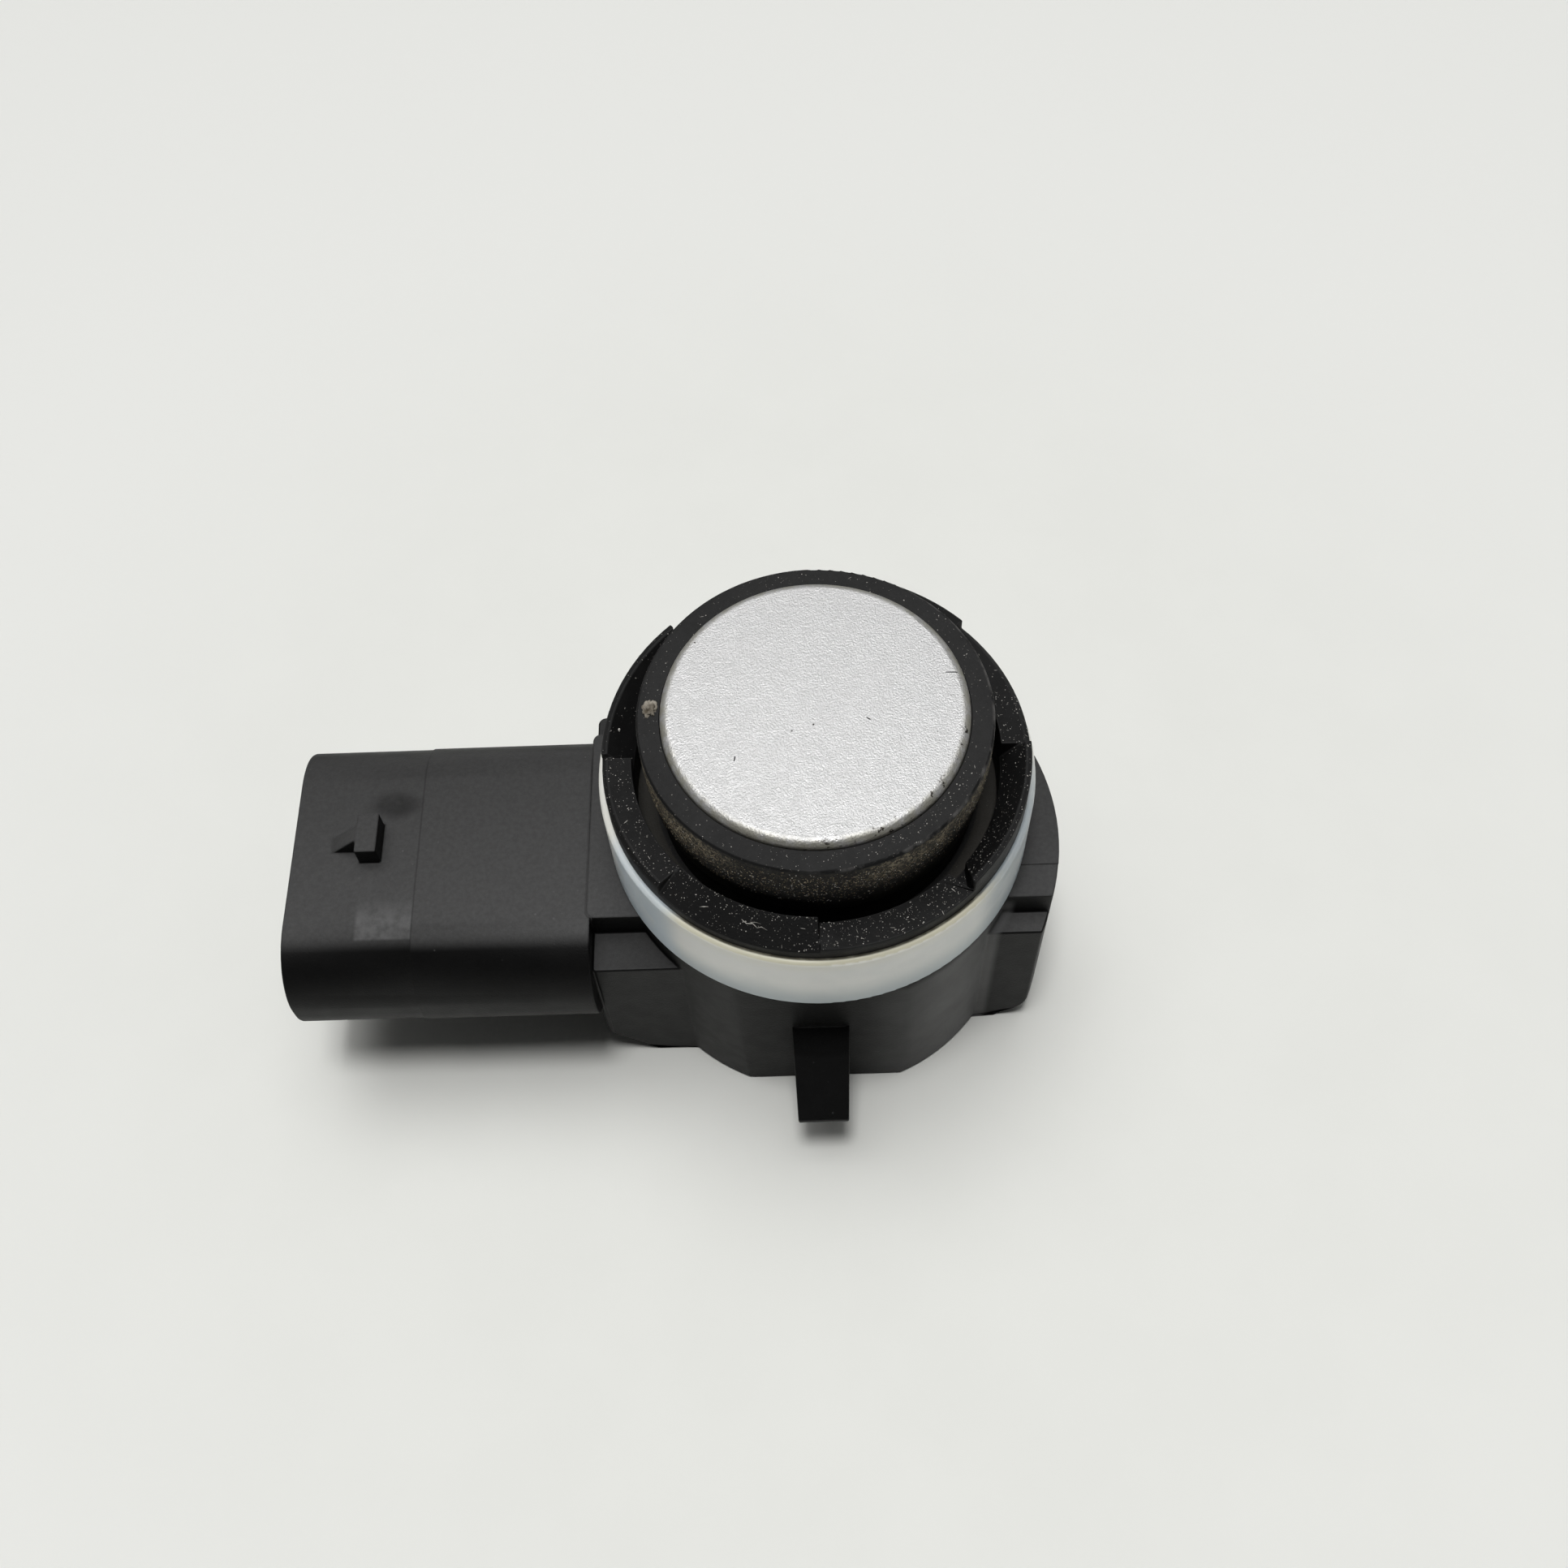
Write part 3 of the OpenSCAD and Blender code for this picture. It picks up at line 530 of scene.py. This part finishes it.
def dirt():
    """Dust on the rings, grime on the collar's wall, hairs and a lump of dirt stuck to the collar's top."""
    pale = speckled("pale_dust", (0.16, 0.155, 0.14), (0.55, 0.53, 0.49), 0.85)
    brown = speckled("brown_dust", (0.12, 0.095, 0.06), (0.34, 0.28, 0.19), 0.9)
    white = Dust(7)
    ledges, inner_edge, collar_top = (9.65, 11.1), (9.6, 9.8), (7.9, 8.95)
    for count, azimuths in ((430, (180, 268)), (520, (268, 335)), (240, (335, 380)), (150, (90, 180)),
                            (70, (20, 90))):
        white.sprinkle(count, ledges, azimuths, (0.02, 0.08), white.CROWN)
    white.sprinkle(80, inner_edge, (222, 276), (0.025, 0.08), white.CROWN)
    white.sprinkle(240, collar_top, (0, 360), (0.02, 0.07), white.COLLAR)
    white.sprinkle(110, collar_top, (250, 340), (0.02, 0.08), white.COLLAR)
    white.cling(420, (18.9, 23.2, 21.6), (190, 355, 275), (0.03, 0.075))
    left_ledge = (-10.3, 1.8, ABOVE)
    white.crumb(*white.land(left_ledge, DOWN)[:2], 0.22)
    lift = Vector((0, 0, 0.02))
    for name, width, path in (
            ("hair", 0.045, ((-3.95, -9.45), (-3.72, -9.66), (-3.4, -9.7), (-3.2, -9.9), (-2.98, -9.88),
                             (-2.7, -10.05))),
            ("hair_end", 0.04, ((-3.55, -9.62), (-3.25, -9.66), (-3.0, -9.75))),
            ("lint", 0.07, ((-6.05, -8.62), (-5.85, -8.64), (-5.6, -8.68)))):
        points = [white.land((x, y, ABOVE), DOWN)[0] / MM + lift for x, y in path]
        fibre(name, points, width, pale, "crown_plastic")
    new_piece("pale_dust", white.form, "crown_plastic", pale)
    rusty = Dust(11)
    rusty.cling(1500, (19.5, 23.25, 22.3), (190, 355, 300), (0.025, 0.075))
    rusty.cling(500, (19.5, 23.2, 22.2), (195, 245, 220), (0.03, 0.085))
    new_piece("brown_dust", rusty.form, "collar_rubber", brown)

    lump_place = Vector((-8.32, 0.55, 23.4))
    long, wide, high = 0.36, 0.46, 0.2
    lump = bmesh.new()
    bmesh.ops.create_icosphere(lump, subdivisions=4, radius=1)
    for vert in lump.verts:
        rough = 1 + 0.45 * hills(vert.co * 2.1) + 0.25 * hills(vert.co * 6.3) + 0.1 * hills(vert.co * 15)
        shape = Vector((vert.co.x * long, vert.co.y * wide, max(vert.co.z, -0.2) * high)) * rough
        vert.co = (shape + lump_place) * MM
    new_piece("dirt_lump", lump, "collar_rubber",
              speckled("lump_dirt", (0.08, 0.065, 0.045), (0.34, 0.31, 0.26), 0.9, relief=0.03))


dirt()


def photo_camera():
    """The photo's view, solved from the part's circles and straight edges."""
    rise, turn, roll = (math.radians(angle) for angle in (59.8, -1.65, 3.29))
    ahead = Vector((math.sin(turn) * math.cos(rise), math.cos(turn) * math.cos(rise), -math.sin(rise)))
    side = Vector((math.cos(turn), -math.sin(turn), 0))
    down = ahead.cross(side)
    right = side * math.cos(roll) + down * math.sin(roll)
    up = side * math.sin(roll) - down * math.cos(roll)
    view = Matrix((right, up, -ahead)).transposed().to_4x4()
    stand = Vector((-0.445, -45.53, 94.64))
    view.translation = stand * MM
    data = bpy.data.cameras.new("photo_camera")
    data.sensor_width = 36
    data.lens = 38.76
    data.clip_start = 0.005
    camera = bpy.data.objects.new("photo_camera", data)
    scene.collection.objects.link(camera)
    camera.matrix_world = view
    scene.camera = camera


def surround():
    """Soft light from all round: bright above and behind, dark towards the photographer."""
    world = bpy.data.worlds.new("surround")
    scene.world = world
    world.use_nodes = True
    tree = world.node_tree
    coords = tree.nodes.new("ShaderNodeTexCoord")

    def lobe(direction, inner, outer):
        """1 inside inner degrees of a direction, falling to 0 at outer degrees."""
        dot = tree.nodes.new("ShaderNodeVectorMath")
        dot.operation = "DOT_PRODUCT"
        tree.links.new(coords.outputs["Generated"], dot.inputs[0])
        dot.inputs[1].default_value = Vector(direction).normalized()
        ramp = tree.nodes.new("ShaderNodeMapRange")
        ramp.interpolation_type = "SMOOTHSTEP"
        tree.links.new(dot.outputs["Value"], ramp.inputs["Value"])
        ramp.inputs["From Min"].default_value = math.cos(math.radians(outer))
        ramp.inputs["From Max"].default_value = math.cos(math.radians(inner))
        return ramp.outputs[0]

    def blend(factor, a, b):
        """Light a where the factor is 0 and b where it is 1."""
        mix = tree.nodes.new("ShaderNodeMix")
        mix.data_type = "RGBA"
        tree.links.new(factor, mix.inputs[0])
        for index, value in ((6, a), (7, b)):
            if isinstance(value, bpy.types.NodeSocket):
                tree.links.new(value, mix.inputs[index])
            else:
                mix.inputs[index].default_value = (*value, 1)
        return mix.outputs[2]

    sky, panel, photographer = (0, 0, 1), (-0.07, 0.18, 0.98), (0, -0.8, 0.6)
    light = blend(lobe(sky, 20, 90), grey(0.11), grey(0.18))
    light = blend(lobe(panel, 9, 31), light, grey(3.9))
    light = blend(lobe(photographer, 26, 66), light, grey(0.015))
    tree.links.new(light, tree.nodes["Background"].inputs["Color"])


def studio():
    """Pale paper floor, with painted shade that darkens it a little near the part, and one lamp overhead.
    """
    bpy.ops.mesh.primitive_plane_add(size=3)
    floor = bpy.context.object
    floor.name = "floor"
    f = Finish("floor_paper")
    paper = f.tint(f.span(f.noise(9, 3), 0.3, 0.7), (0.795, 0.80, 0.762), (0.81, 0.815, 0.777))
    # Painted shade: the paper is a little darker within about 28 mm of the part and lighter from 72 mm on
    paper = f.tint(f.span(f.radius(), 28, 72), paper, (0.832, 0.836, 0.805))
    f.set(Base_Color=paper, Roughness=0.9)
    f.bump(f.noise(0.6, 3), 0.01)
    floor.data.materials.append(f.material)
    lamp = bpy.data.lights.new("ceiling_lamp", "AREA")
    lamp.shape = "DISK"
    lamp.size = 0.16
    lamp.energy = 1.95
    holder = bpy.data.objects.new("ceiling_lamp", lamp)
    scene.collection.objects.link(holder)
    holder.location = Vector((-0.02, -0.07, 0.68))
    holder.rotation_euler = (-holder.location).to_track_quat("-Z", "Y").to_euler()
    scene.view_settings.view_transform = "Standard"


photo_camera()
surround()
studio()
